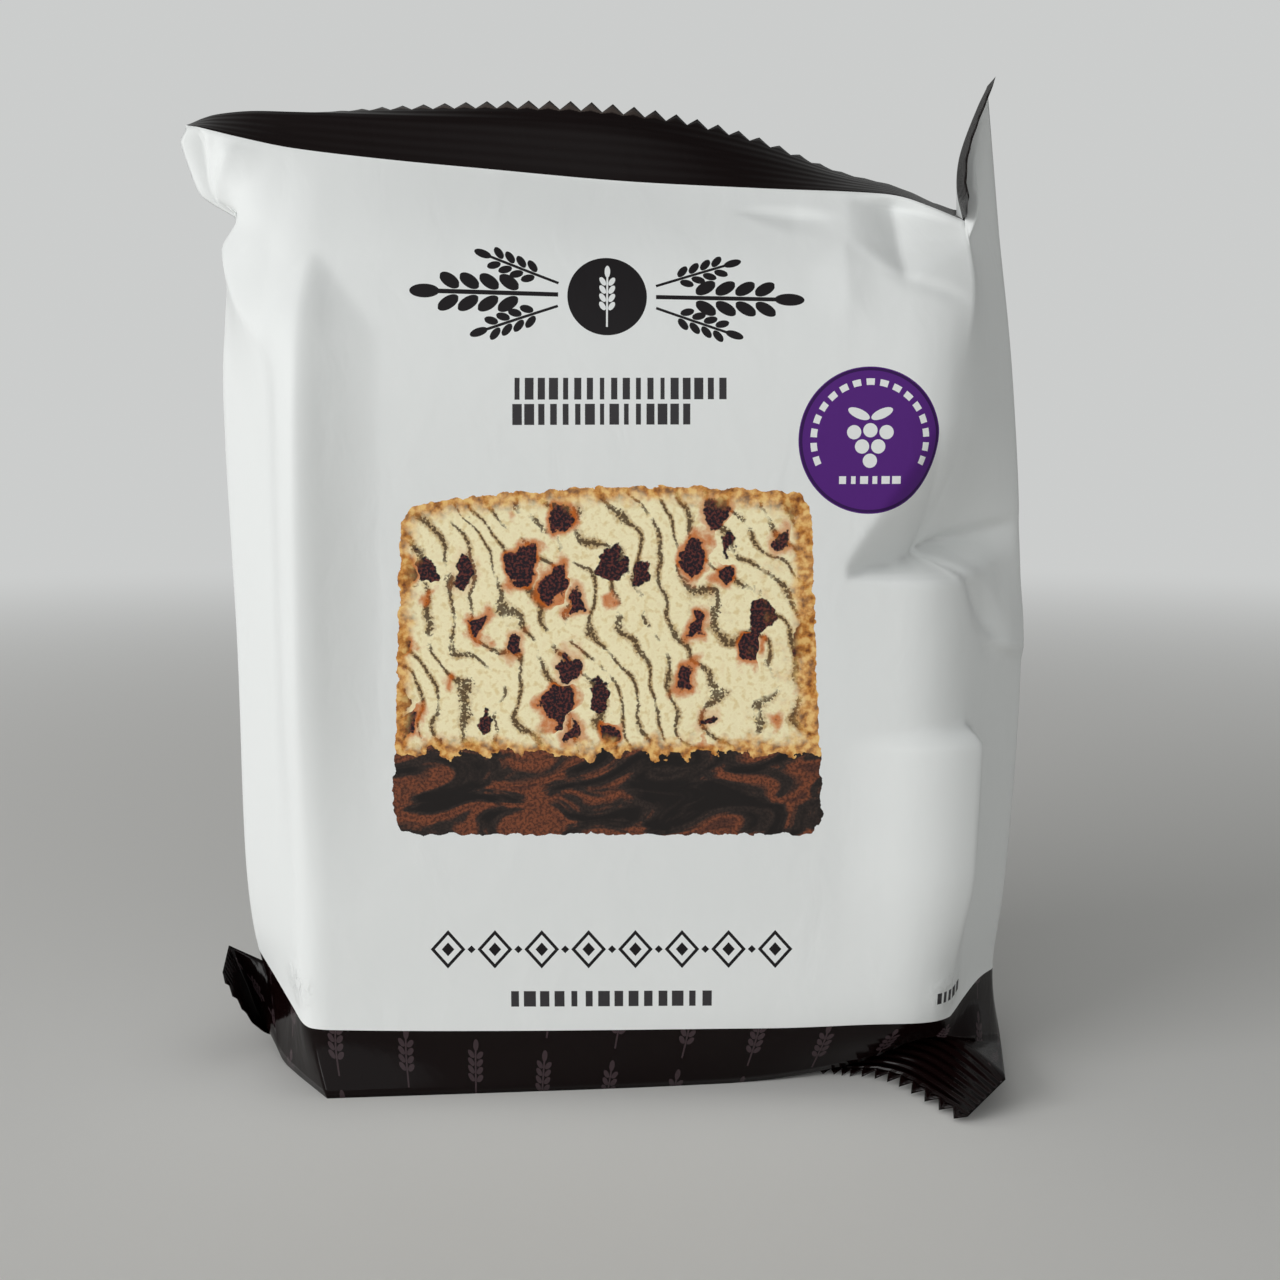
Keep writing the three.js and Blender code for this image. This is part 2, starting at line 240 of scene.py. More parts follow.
SEAL_HEIGHT = 12
SEAL_THICKNESS = 0.3
SEAL_CREASE = 0.58    # share of the seal's height below its crease
SEAL_CLOSES = 0.9     # share above which its layers run together
TOOTH_PITCH = 3
TOOTH_DEPTH = 1.7
TEETH_FROM = 0.8      # share above which the teeth are cut

PRINT_LEVEL = 9
LOW_LEVEL = 25
MIDDLE_LEVEL = 60
SHOULDER_LEVEL = 98
SHOULDER_SHARE = 0.52
SHOULDER_BULGE = 3
NECK = 2.7            # the tube is drawn in under the left ear
NECK_START = 48
FOOT_HOLLOW = 1.2     # the underside is hollow round a place left of the middle
HOLLOW_MIDDLE = -8
HOLLOW_EDGE = (36, 50)
BACK_SEAM = (0, 12)
BACK_SEAM_HEIGHT = 0.8
BACK_SEAM_RAMP = 1.5

FRONT = -1
BACK = 1
LOWER_ROOT, FOOT, PRINT_ROW, LOW_ROW, MIDDLE_ROW, SHOULDER, UPPER_ROOT, UPPER_CUT = 1, 2, 3, 4, 5, 6, 8, 9
PINCH = 46


def ease(x, start, end):
    """Runs smoothly from 0 at start to 1 at end."""
    share = min(max((x - start) / (end - start), 0), 1)
    return share * share * (3 - 2 * share)


def through(stations, creases=()):
    """A smooth curve through [place, value, ...] stations. A station in creases has a sharp turn."""
    last = len(stations) - 1

    def slope(i, j, k):
        return (stations[j][k] - stations[i][k]) / (stations[j][0] - stations[i][0])

    def tangent(i, k, side):
        if i == 0:
            return slope(0, 1, k)
        if i == last:
            return slope(last - 1, last, k)
        if stations[i][0] in creases:
            return slope(i - 1, i, k) if side < 0 else slope(i, i + 1, k)
        return slope(i - 1, i + 1, k)

    def at(place):
        place = min(max(place, stations[0][0]), stations[last][0])
        i = 0
        while i < last - 1 and stations[i + 1][0] < place:
            i += 1
        length = stations[i + 1][0] - stations[i][0]
        u = (place - stations[i][0]) / length
        values = []
        for k in range(1, len(stations[i])):
            value = stations[i][k]
            rise = stations[i + 1][k] - value
            out = tangent(i, k, 1) * length
            into = tangent(i + 1, k, -1) * length
            values.append(value + u * (out + u * (3 * rise - 2 * out - into + u * (out + into - 2 * rise))))
        return values if len(values) > 1 else values[0]

    return at


# The upper seal's root rises to the left ear, dips to a pinch and turns up into the right ear.
upper_root = through([
    [-FOLD, -61.5, 1, 133.5],
    [-54, -53.2, -1, 131.2],
    [-46, -46, -2, 129.6],
    [-33, -33, -3, 127.9],
    [-20, -19.8, -3, 126.7],
    [0, 0, -3, 125],
    [19, 18.9, -3.5, 123.9],
    [35, 35, -5, 122.9],
    [39, 39, -6, 122],
    [PINCH, 46.2, -8, 118.8],
    [51, 45.5, -6.5, 123.6],
    [56, 46.4, -4.5, 128.7],
    [FOLD, 50.7, 0, 138.5],
], [PINCH])

# The upper seal's lean below its crease and above it, in degrees back from upright, its slant sideways
# and its width as a share of the whole. It flips forward at the pinch.
upper_lean = through([
    [-FOLD, 76, 80, -0.28, 1],
    [-60, 58, 80, -0.15, 1],
    [-46, 34, 78, 0, 1],
    [-33, 24, 59, 0, 1],
    [-9, 10, 33, 0, 1],
    [2, 12, 32, 0, 1],
    [18, 37, 45, 0, 1],
    [32, 64, 68, 0, 1],
    [43, 74, 74, 0.1, 1],
    [45.5, 72, 72, 0.1, 0.85],
    [PINCH, 0, 0, 0, 0.12],
    [46.5, -98, -98, -0.12, 0.3],
    [49, -98, -98, -0.11, 0.95],
    [FOLD, -98, -98, -0.13, 0.97],
], [43, 45.5, PINCH, 46.5, 49])

# The lower seal's root, and the way from there to its cut edge: it lies folded forward under the pack.
SEAL_LEVEL = 0.4
lower_root = through([
    [-FOLD, -59.5, 0, 14.5],
    [-60, -57.2, -0.5, 9],
    [-53, -54, -1, 2.6],
    [-46, -46.5, 0, 0.8],
    [-40, -40, 1, SEAL_LEVEL],
    [-30, -30, 1, SEAL_LEVEL],
    [0, 0, 1, SEAL_LEVEL],
    [18, 18, 0, SEAL_LEVEL],
    [26, 26, -1, SEAL_LEVEL],
    [38, 37, -4.5, 2.6],
    [46, 43, -9, 5],
    [54, 46.8, -14.5, 6],
    [FOLD, 51, -25, 4.8],
])
lower_reach = through([
    [-FOLD, 2, -10.5, -1],
    [-60, 1.6, -9.5, 0.5],
    [-54, 1, -5, 0.6],
    [-50, 0.3, -2.5, -0.3],
    [-44, 0, -9, 0],
    [-36, 0, -11.8, 0],
    [-30, 0, -11.8, 0],
    [18, 0, -11.8, 0],
    [24, -0.5, -11.8, 0],
    [33, -3.5, -10.8, -1.2],
    [42, -7.5, -7.6, -3.6],
    [54, -8, -4.5, -5.5],
    [FOLD, -6.6, -3.5, -4.4],
])

# The fold round the foot of the pack. Its two ends are shared by the front and the back.
FOOT_LEFT = (-52.5, -2, 12.2)
FOOT_RIGHT = (55, -7, 3)
front_foot = through([
    [-FOLD, *FOOT_LEFT],
    [-60, -51, -7, 5.5],
    [-54, -50, -8.5, 1],
    [-48, -46, -13.5, 0],
    [-43, -40.5, -20.5, 0],
    [0, 0, -17.3, 0],
    [20, 19.5, -15.2, 0.2],
    [34, 33.5, -13.5, 2.2],
    [43, 42, -15.5, 6.5],
    [52, 48.5, -14, 5.5],
    [60, 52.8, -10, 3.8],
    [FOLD, *FOOT_RIGHT],
], [-43])
back_foot = through([
    [-FOLD, *FOOT_LEFT],
    [-56, -50, 7, 1.5],
    [-46, -44, 14, 0],
    [-40, -39.5, 16.5, 0],
    [40, 39.5, 16.5, 0],
    [46, 44, 14, 0],
    [58, 52, 6, 0.3],
    [FOLD, *FOOT_RIGHT],
])

# Half of the cross-section by its length along the film: the film's direction turns by BEVEL_TURN at
# the panel's edge and squarely back at the side fold.
SECTION_STEP = 0.5


def film_turn(across):
    """How far the film has turned from the middle of its layer to a place."""
    radius = EDGE_RADIUS[across < 0]
    at_panel = BEVEL_TURN * ease(abs(across), PANEL - radius, PANEL + radius)
    return at_panel + (pi / 2 - BEVEL_TURN) * ease(abs(across), FOLD - FOLD_RADIUS, FOLD)


def half_section(side):
    """Points from the middle of the front to a side fold, SECTION_STEP apart."""
    points = [Vector((0, 0))]
    for step in range(int(FOLD / SECTION_STEP)):
        turn = film_turn(side * (step + 0.5) * SECTION_STEP)
        points.append(points[-1] + Vector((cos(turn), sin(turn))) * SECTION_STEP)
    return points


sections = (half_section(1), half_section(-1))

left_side = through([[PRINT_LEVEL, 54], [15.6, 54.8], [25, 56], [60, 56.3], [98, 57], [115, 57.3]])
right_side = through([[PRINT_LEVEL, 54.6], [17, 56], [25, 56.5], [45, 57.5], [60, 57.8], [80, 56.3],
                      [98, 55.3]])
print_edge = through([[-FOLD, 15.6], [-58, 13], [-50, 10.5], [-43, 8.8], [20, 9], [37, 9.6], [47, 9.3],
                      [52, 10.8], [58, 12], [FOLD, 11.6]], [47])


def ring(across, layer, level):
    """A point of the full section at a level."""
    section = sections[across < 0]
    along = abs(across) / SECTION_STEP
    i = min(floor(along), len(section) - 2)
    point = section[i].lerp(section[i + 1], along - i)
    x = point.x * SIDE / section[-1].x
    side = (left_side if across < 0 else right_side)(level)
    if x > PANEL:
        x = PANEL + (x - PANEL) * (side - PANEL) / (SIDE - PANEL)
    return Vector((x if across > 0 else -x, layer * (1 - point.y / section[-1].y) * DEPTH / 2, level))


def outward(across, layer):
    """The way out of the pack at a place of the section."""
    turn = film_turn(across)
    return Vector((sin(turn) if across > 0 else -sin(turn), layer * cos(turn), 0))


# Pleats run from a sharp tip to their end, both [place round the tube, level]. Past a side fold the place
# goes on round the back. Then come the rise, where a valley is below 0, the widths of its two flanks, on
# the left and the right of the way from tip to end, and the shares of its length in which it grows from
# its tip and runs out at its end.
PLEATS = [
    # the dent right of the middle, its crumple at the side fold and the corner below them
    ([29.4, 71.6], [66, 78], -8.4, (17, 3.6), (0.4, 0.6)),
    ([46, 74.6], [66, 78.4], -1.7, (1.5, 13), (0.3, 0.5)),
    ([45, 74.6], [57, 60], -1.4, (3.5, 4), (0.5, 0.3)),
    ([50, 62.8], [66, 59], 1.3, (10, 1.5), (0.5, 0.4)),
    ([47, 51], [46, 12], 3.2, (3.5, 17), (0.07, 0.5)),
    # gathers under the upper seal on the right
    ([37.4, 110.5], [36.8, 136], -2.5, (6.5, 10.5), (0.22, 0.45)),
    ([29.6, 116], [29.6, 103], 0.45, (4, 5), (0.3, 0.5)),
    ([34, 111.8], [46, 107.4], -0.3, (1, 1.6), (0.3, 0.3)),
    ([15, 120.6], [31, 118.6], -0.9, (1.5, 2.6), (0.5, 0.5)),
    ([48.5, 116.5], [60, 138], 2.4, (3.5, 6), (0.25, 0.2)),
    # the ear and the neck on the left, and the proud edge of the panel below them
    ([-56, 120.8], [-80, 120.8], -2.9, (14, 3), (0.4, 0.45)),
    ([-62.5, 121], [-44, 97], 2.3, (9, 11), (0.35, 0.5)),
    ([-63, 121.5], [-50, 134], 1.4, (5, 5), (0.4, 0.45)),
    ([-63.6, 123], [-63.6, 146], -1.4, (2.4, 2.4), (0.4, 0.45)),
    ([-66, 120], [-66, 140], 1.7, (6, 6), (0.3, 0.5)),
    ([-41, 114], [-43, 22], 2.2, (10, 7.5), (0.12, 0.45)),
    # the back
    ([128, 70], [108, 95], -1.8, (7, 7), (0.4, 0.45)),
    ([-100, 40], [-118, 66], -1.6, (7, 7), (0.4, 0.45)),
]
CREASE_RADIUS = 0.3
PLEAT_TIP = 0.08      # a pleat's width at its tip, as a share of the whole
PLEAT_HOLLOW = 1.5    # 1 is a straight flank, more is a hollow one
FREE_ROWS = (0.8, 0.14)     # rows over which pleats fade out at the foot and at the upper seal


def pleat_rise(around, level):
    """How far all pleats together stand out at a place round the tube."""
    rise = 0
    for tip, end, height, widths, (grows, fades) in PLEATS:
        line = Vector(end) - Vector(tip)
        offset = (around - tip[0] + 2 * FOLD) % (4 * FOLD) - 2 * FOLD
        point = Vector((offset, level - tip[1]))
        share = point.dot(line) / line.length_squared
        if not 0 < share < 1:
            continue
        grown = min(share / grows, 1)
        steep = height * sin(pi / 2 * grown) * (1 - ease(share, 1 - fades, 1))
        right = (point.x * line.y - point.y * line.x) / line.length
        spread = widths[right > 0] * (PLEAT_TIP + (1 - PLEAT_TIP) * grown)
        flank = (sqrt(right ** 2 + CREASE_RADIUS ** 2) - CREASE_RADIUS) / spread
        rise += steep * max(0, 1 - flank) ** PLEAT_HOLLOW
    return rise


def seam_rise(across):
    """How far the lengthwise seal stands out from the back."""
    start, end = BACK_SEAM
    up = ease(across, start - BACK_SEAM_RAMP, start)
    return BACK_SEAM_HEIGHT * up * (1 - ease(across, end, end + BACK_SEAM_RAMP))


def lengthwise(points):
    """The centripetal Catmull-Rom curve through points, as a function of the share of its length."""
    first = points[0] * 2 - points[1]
    final = points[-1] * 2 - points[-2]
    padded = [first, *points, final]

    def at(share):
        place = (len(points) - 1) * share
        i = min(floor(place), len(points) - 2)
        u = place - i
        p0, p1, p2, p3 = padded[i:i + 4]
        gap = [sqrt((b - a).length) for a, b in ((p0, p1), (p1, p2), (p2, p3))]
        middle = gap[1] or 1
        before = gap[0] or middle
        after = gap[2] or middle
        out = ((p1 - p0) / before - (p2 - p0) / (before + middle) + (p2 - p1) / middle) * middle
        into = ((p2 - p1) / middle - (p3 - p1) / (middle + after) + (p3 - p2) / after) * middle
        bend = 3 * (p2 - p1) - 2 * out - into
        twist = 2 * (p1 - p2) + out + into
        return p1 + out * u + bend * u ** 2 + twist * u ** 3

    return at


def seal_facing(across, root, reach):
    """The way from the middle of a seal towards its front layer."""
    step = 0.4
    along = Vector(root(across + step)) - Vector(root(across - step))
    return along.cross(reach).normalized()


def upper_way(across, share):
    """From the upper seal's root to a share of its height."""
    low, high, slant, width = upper_lean(across)
    way = Vector()
    for degrees, length in ((low, min(share, SEAL_CREASE)), (high, max(share - SEAL_CREASE, 0))):
        lean = Vector((slant, sin(radians(degrees)), cos(radians(degrees))))
        way += lean.normalized() * length * SEAL_HEIGHT * width
    return way


def toothed(across, share):
    """The share of a seal's height, less what the knife takes out between the teeth."""
    cut = TOOTH_DEPTH / SEAL_HEIGHT * abs(2 * (across / TOOTH_PITCH % 1) - 1)
    return share - cut * ease(share, TEETH_FROM, 1)


def strip(across, layer):
    """The film at one place across the tube, as a function of the row."""
    half = SEAL_THICKNESS / 2 * (1 - ease(abs(across), FOLD - TOOTH_PITCH, FOLD))
    lower = Vector(lower_root(across))
    lower_way = Vector(lower_reach(across))
    lower_facing = seal_facing(across, lower_root, lower_way)
    upper = Vector(upper_root(across))
    upper_facing = seal_facing(across, upper_root, upper_way(across, 1))
    foot = Vector((front_foot if layer == FRONT else back_foot)(across))
    shoulder = ring(across, layer, SHOULDER_LEVEL)
    root = upper - upper_facing * half * layer
    bulge = SHOULDER_BULGE * (1 - (across / FOLD) ** 2) - NECK * ease(-across, NECK_START, FOLD)
    curve = lengthwise([
        foot,
        ring(across, layer, print_edge(across)),
        ring(across, layer, LOW_LEVEL),
        ring(across, layer, MIDDLE_LEVEL),
        shoulder,
        shoulder.lerp(root, SHOULDER_SHARE) + outward(across, layer) * bulge,
        root,
    ])
    around = across if layer == FRONT else (2 * FOLD - abs(across)) * (1 if across > 0 else -1)
    hollow = FOOT_HOLLOW * (1 - ease(abs(across - HOLLOW_MIDDLE), *HOLLOW_EDGE)) if layer == FRONT else 0

    def at(row):
        if row < LOWER_ROOT:
            share = toothed(across, LOWER_ROOT - row)
            side = half * (1 - ease(LOWER_ROOT - row, SEAL_CLOSES, 1)) * layer
            return lower + lower_way * share + lower_facing * side
        if row > UPPER_ROOT:
            share = toothed(across, row - UPPER_ROOT)
            side = -half * (1 - ease(row - UPPER_ROOT, SEAL_CLOSES, 1)) * layer
            return upper + upper_way(across, share) + upper_facing * side
        if row < FOOT:
            share = row - LOWER_ROOT
            point = (lower + lower_facing * half * layer).lerp(foot, share)
            point.z += hollow * sin(pi * share)
            return point
        point = curve((row - FOOT) / (UPPER_ROOT - FOOT))
        free = ease(row, FOOT, FOOT + FREE_ROWS[0])
        free *= 1 - ease(row, UPPER_ROOT - FREE_ROWS[1], UPPER_ROOT)
        rise = pleat_rise(around, point.z) + (seam_rise(across) if layer == BACK else 0)
        return point + outward(across, layer) * rise * free

    return at


# The grid of the film: columns across each layer, and rows close together where the film is crumpled.
COLUMNS_TO_TOOTH = 6
COLUMNS = round(COLUMNS_TO_TOOTH * 2 * FOLD / TOOTH_PITCH)
MERGED = 0.002        # points closer than this are one
ROW_STEPS = [(0, 12), (LOWER_ROOT, 6), (FOOT, 8), (PRINT_ROW, 12), (LOW_ROW, 36), (MIDDLE_ROW, 54),
             (SHOULDER, 46), (UPPER_ROOT, 12)]
rows = []
for (start, steps), end in zip(ROW_STEPS, [start for start, steps in ROW_STEPS[1:]] + [UPPER_CUT]):
    rows += [start + (end - start) * step / steps for step in range(steps)]
rows.append(UPPER_CUT)

# Heights on the print, by row: as they stand on the middle of the front.
middle_front = strip(0, FRONT)
print_heights = [middle_front(max(row, FOOT)).z if row <= UPPER_ROOT else 0 for row in rows]
seal_top = print_heights[rows.index(UPPER_ROOT)]
for i, row in enumerate(rows):
    if row > UPPER_ROOT:
        print_heights[i] = seal_top + (row - UPPER_ROOT) * SEAL_HEIGHT
    elif row < FOOT:
        print_heights[i] = max(row - FOOT, -1) * DEPTH / 2 - max(LOWER_ROOT - row, 0) * SEAL_HEIGHT

film = bmesh.new()
print_map = film.loops.layers.uv.new("print")
bmesh.ops.create_grid(film, x_segments=2 * COLUMNS, y_segments=len(rows) - 1, size=0.5, calc_uvs=True)
strips = {}
for vertex in film.verts:
    column = round((vertex.co.x + 0.5) * 2 * COLUMNS)
    row = rows[round((vertex.co.y + 0.5) * (len(rows) - 1))]
    layer = FRONT if column < COLUMNS else BACK
    across = (column if layer == FRONT else 2 * COLUMNS - column) * 2 * FOLD / COLUMNS - FOLD
    if column not in strips:
        strips[column] = strip(across, layer)
    point = strips[column](row)
    point.z = max(point.z, 0)
    vertex.co = (point + STAND) * MM
for face in film.faces:
    face.smooth = True
    for corner in face.loops:
        u, v = corner[print_map].uv
        corner[print_map].uv = (u * 4 * FOLD - FOLD, print_heights[round(v * (len(rows) - 1))])
bmesh.ops.remove_doubles(film, verts=film.verts, dist=MERGED * MM)
bmesh.ops.recalc_face_normals(film, faces=film.faces)
pack_mesh = bpy.data.meshes.new("printed_film_pack")
film.to_mesh(pack_mesh)
film.free()
pack = bpy.data.objects.new("printed_film_pack", pack_mesh)
bpy.context.scene.collection.objects.link(pack)


# ---- The print ----------------------------------------------------------------------------------------
# The film is white and matt over the body, near black and glossy over the seals and round the foot. Its
# print is flat ink: an ornament of grain ears, rows of uneven bars, a round badge, a slice of fruit bread
# and a row of lozenges. Everything is placed in mm on the unrolled film.
def linear(level):
    """The brightness of a screen value from 0 to 255."""
    share = level / 255
    return ((share + 0.055) / 1.055) ** 2.4 if share > 0.04045 else share / 12.92


def ink(red, green, blue):
    """A colour from its screen values."""
    return (linear(red), linear(green), linear(blue), 1)


WHITE_FILM = ink(231, 233, 232)
DARK_FILM = ink(14, 5, 5)
# painted highlight on the teeth of the upper cut edge, not an ink of the film
CUT_EDGE_HIGHLIGHT = ink(96, 86, 80)
DARK_PATTERN = ink(62, 50, 53)
BLACK_INK = ink(30, 27, 29)
PLUM_INK = ink(84, 34, 122)
PLUM_RIM = ink(52, 18, 80)
BAR_INK = ink(58, 56, 58)

# One grain ear, 7.6 long and 2 wide, standing on its stem at the origin: the motif of the whole print. Its
# grains sit in pairs, one pair to each 1 of its length.
EAR_GRAINS = (2, 6)   # the part of its length with grains
GRAIN = ((0.54, 0.5), (0.31, 0.58), -32)      # place in a pair's cell, half size and turn
EAR_TIP = ((0, 6.72), (0.33, 0.75))
EAR_STEM = ((0, 3.1), (0.11, 3.1))

ear_group = bpy.data.node_groups.new("grain_ear", "ShaderNodeTree")
ear_group.interface.new_socket("Point", in_out="INPUT", socket_type="NodeSocketVector")
ear_group.interface.new_socket("Mask", in_out="OUTPUT", socket_type="NodeSocketFloat")
ear = Drawing(ear_group)
ear_point = ear.add("NodeGroupInput", {})[0]
ear_parts = ear.add("SeparateXYZ", {"Vector": ear_point})
pair_cell = ear.add("CombineXYZ", {
    "X": ear.maths("ABSOLUTE", ear_parts["X"]),
    "Y": ear.maths("WRAP", ear_parts["Y"], 1, 0),
})[0]
ear_grains = ear.both(
    ear.oval(pair_cell, *GRAIN),
    ear.maths("GREATER_THAN", ear_parts["Y"], EAR_GRAINS[0]),
    ear.maths("LESS_THAN", ear_parts["Y"], EAR_GRAINS[1]),
)
ear_mask = ear.either(ear_grains, ear.oval(ear_point, *EAR_TIP), ear.box(ear_point, *EAR_STEM))
ear.add("NodeGroupOutput", {0: ear_mask})

film_material = bpy.data.materials.new("printed_film")
film_material.use_nodes = True
art = Drawing(film_material.node_tree)
point = art.add("UVMap", {}, uv_map="print")[0]
point_parts = art.add("SeparateXYZ", {"Vector": point})
around = point_parts["X"]
height = point_parts["Y"]


def grain_ear(centre, size, turn=0, on=point):
    """The mask of a grain ear with the foot of its stem at a centre."""
    return art.add("Group", {0: art.place(on, centre, (size, size), turn)}, node_tree=ear_group)[0]


# Ornament: a white ear on a black disc, with sprays of black ears to its left and right.
ORNAMENT = (-2, 108)
DISC = 5.2
DISC_EAR = 1.1        # its size
DISC_EAR_DROP = 4.1   # from the disc's middle to the foot of its stem
SPRAY_GAP = 1.2
SPRAYS = ((0, 2.6, 0), (1.5, 1.6, 19), (-1.5, 1.6, -19))   # height over the disc's middle, size, turn up

disc = art.oval(point, ORNAMENT, (DISC, DISC))
disc_ear = grain_ear((ORNAMENT[0], ORNAMENT[1] - DISC_EAR_DROP), DISC_EAR)
sprays = []
for side in (-1, 1):
    for lift, size, up in SPRAYS:
        stem_foot = (ORNAMENT[0] + side * (DISC + SPRAY_GAP), ORNAMENT[1] + lift)
        sprays.append(grain_ear(stem_foot, size, -side * (90 - up)))

# Rows of upright bars of uneven width.
BAR_ROWS = (          # start, end, level, height and width of a bar's cell
    (-14.3, 13.9, 95.9, 2.8, 1.56),
    (-14.3, 9.2, 92.6, 2.7, 1.56),
    (-15.6, 12.6, 13.3, 2.2, 2),
    (43, 49.5, 12.8, 1.7, 1.3),
)
THINNEST_BAR = 0.17   # half a bar's width, as a share of its cell
BAR_SPREAD = 0.25


def uneven_bars(start, end, level, tall, cell):
    """The mask of one row."""
    along = art.maths("DIVIDE", art.maths("SUBTRACT", around, start), cell)
    cell_seed = art.add("CombineXYZ", {"X": art.maths("FLOOR", along), "Y": level})[0]
    chance = art.add("TexWhiteNoise", {"Vector": cell_seed}, noise_dimensions="2D")[0]
    half_width = art.maths("MULTIPLY_ADD", chance, BAR_SPREAD, THINNEST_BAR)
    off_middle = art.maths("ABSOLUTE", art.maths("SUBTRACT", art.maths("FRACT", along), 0.5))
    inside = art.box(point, ((start + end) / 2, level), ((end - start) / 2, tall / 2))
    return art.both(art.maths("LESS_THAN", off_middle, half_width), inside)


bars = art.either(*(uneven_bars(*row) for row in BAR_ROWS))

# A row of lozenges with a dot between each two.
ROW_LEVEL = 20.3
ROW_START, ROW_END = -26.8, 23.8
ROW_TALL = 3          # half its height
ROW_TRIM = 0.6        # cut off at each end, where half a dot would be
LOZENGES = 8
LOZENGE = (2.35, 2.7)         # half its width and height
LOZENGE_LINE = (0.88, 0.12)   # middle and half width of its line, as shares of the lozenge
LOZENGE_CORE = 0.36
DOT = 0.55

row_cell = (ROW_END - ROW_START) / LOZENGES
row_share = art.maths("DIVIDE", art.maths("SUBTRACT", around, ROW_START), row_cell)
row_x = art.maths("MULTIPLY", art.maths("SUBTRACT", art.maths("FRACT", row_share), 0.5), row_cell)
row_aside = art.maths("ABSOLUTE", row_x)
row_up = art.maths("ABSOLUTE", art.maths("SUBTRACT", height, ROW_LEVEL))
from_core = art.maths(
    "ADD",
    art.maths("DIVIDE", row_aside, LOZENGE[0]),
    art.maths("DIVIDE", row_up, LOZENGE[1]),
)
from_dot = art.maths("ADD", art.maths("SUBTRACT", row_cell / 2, row_aside), row_up)
row_half = (ROW_END - ROW_START) / 2 - ROW_TRIM
row_ink = art.both(
    art.either(
        art.near(from_core, *LOZENGE_LINE),
        art.maths("LESS_THAN", from_core, LOZENGE_CORE),
        art.maths("LESS_THAN", from_dot, DOT),
    ),
    art.box(point, ((ROW_START + ROW_END) / 2, ROW_LEVEL), (row_half, ROW_TALL)),
)

# Round badge: a plum disc with a darker rim, an arc of dashes and a bunch of berries in white.
BADGE = (32.1, 89.2)
BADGE_SIZE = (9.3, 9.6)
BADGE_RIM = (0.965, 0.02)     # middle and half width, as shares of the badge
DASH_RING = (0.79, 0.045)
DASHES = 26           # to a whole ring
DASH_LENGTH = 0.6     # share of the way from dash to dash
DASH_ARC = 8.5        # dashes on each side of the top
BERRIES = ((-2.1, 1), (0, 1.25), (2.1, 1), (-1.05, -0.85), (1.05, -0.85), (0, -2.7))
BERRY = (0.92, 0.92)
LEAF = (1.5, 0.62)
LEAF_PLACE = (1.5, 3.4)
LEAF_TURN = 24
BADGE_ROW = (-4.2, 4.2, -5.2, 1, 1.4)         # a row of bars, from the badge's middle

badge = art.oval(point, BADGE, BADGE_SIZE)
on_badge = art.place(point, BADGE, BADGE_SIZE)
badge_radius = art.vectors("LENGTH", on_badge)
badge_parts = art.add("SeparateXYZ", {"Vector": on_badge})
from_top = art.maths("ABSOLUTE", art.maths("ARCTAN2", badge_parts["X"], badge_parts["Y"]))
dash_number = art.maths("MULTIPLY", from_top, DASHES / (2 * pi))
dash_share = art.maths("FRACT", art.maths("ADD", dash_number, DASH_LENGTH / 2))
badge_dashes = art.both(
    art.near(badge_radius, *DASH_RING),
    art.maths("LESS_THAN", dash_share, DASH_LENGTH),
    art.maths("LESS_THAN", dash_number, DASH_ARC),
)
berries = [art.oval(point, (BADGE[0] + x, BADGE[1] + y), BERRY) for x, y in BERRIES]
leaves = []
for side in (-1, 1):
    leaf_middle = (BADGE[0] + side * LEAF_PLACE[0], BADGE[1] + LEAF_PLACE[1])
    leaves.append(art.oval(point, leaf_middle, LEAF, side * LEAF_TURN))
start, end, level, tall, cell = BADGE_ROW
badge_bars = uneven_bars(BADGE[0] + start, BADGE[0] + end, BADGE[1] + level, tall, cell)
badge_white = art.either(badge_dashes, badge_bars, *berries, *leaves)
badge_rim = art.near(badge_radius, *BADGE_RIM)

# Slice of fruit bread: a pale crumb face marbled with dark swirls and set with fruit, browned at its edge,
# over the dark baked side of the loaf. One outline, a little wider at its foot, goes round both.
LOAF = (-2, 59.8)
LOAF_SIZE = (28.9, 23.4)      # half its width and height
LOAF_CORNER = 3.4
LOAF_TAPER = 0.0019   # how much narrower it gets with each mm of height
LOAF_WOBBLE = 1.5
DOME = 0.0022         # the top's drop, for each mm from its middle squared
DOME_MIDDLE = 4
DOME_FADE = 20        # from the loaf's middle, the height over which the drop sets in
FACE_FOOT = 47.4
FACE_RAGGED = 5

grit = art.noise(point, 2.6, 3)
centred_grit = art.maths("SUBTRACT", grit, 0.5)
wobble = art.maths("MULTIPLY", art.maths("SUBTRACT", art.noise(point, 0.5, 4), 0.5), LOAF_WOBBLE)
aside = art.maths("SUBTRACT", around, LOAF[0])
off_dome = art.maths("SUBTRACT", around, DOME_MIDDLE)
drop = art.both(
    art.maths("MULTIPLY", off_dome, off_dome),
    DOME,
    art.fade(height, LOAF[1], LOAF[1] + DOME_FADE),
)
over_foot = art.maths("SUBTRACT", height, LOAF[1] - LOAF_SIZE[1])
outline = art.add("CombineXYZ", {
    "X": art.maths("MULTIPLY", aside, art.maths("MULTIPLY_ADD", over_foot, LOAF_TAPER, 1)),
    "Y": art.maths("ADD", height, drop),
})[0]
loaf_out = art.maths("ADD", art.box_distance(outline, (0, LOAF[1]), LOAF_SIZE, LOAF_CORNER), wobble)
ragged = art.maths("MULTIPLY_ADD", art.noise(point, 0.32, 4), FACE_RAGGED, FACE_FOOT - FACE_RAGGED / 2)
face_out = art.maths("MAXIMUM", loaf_out, art.maths("SUBTRACT", ragged, height))
loaf_mask = art.maths("LESS_THAN", loaf_out, 0)
face_mask = art.maths("LESS_THAN", face_out, 0)

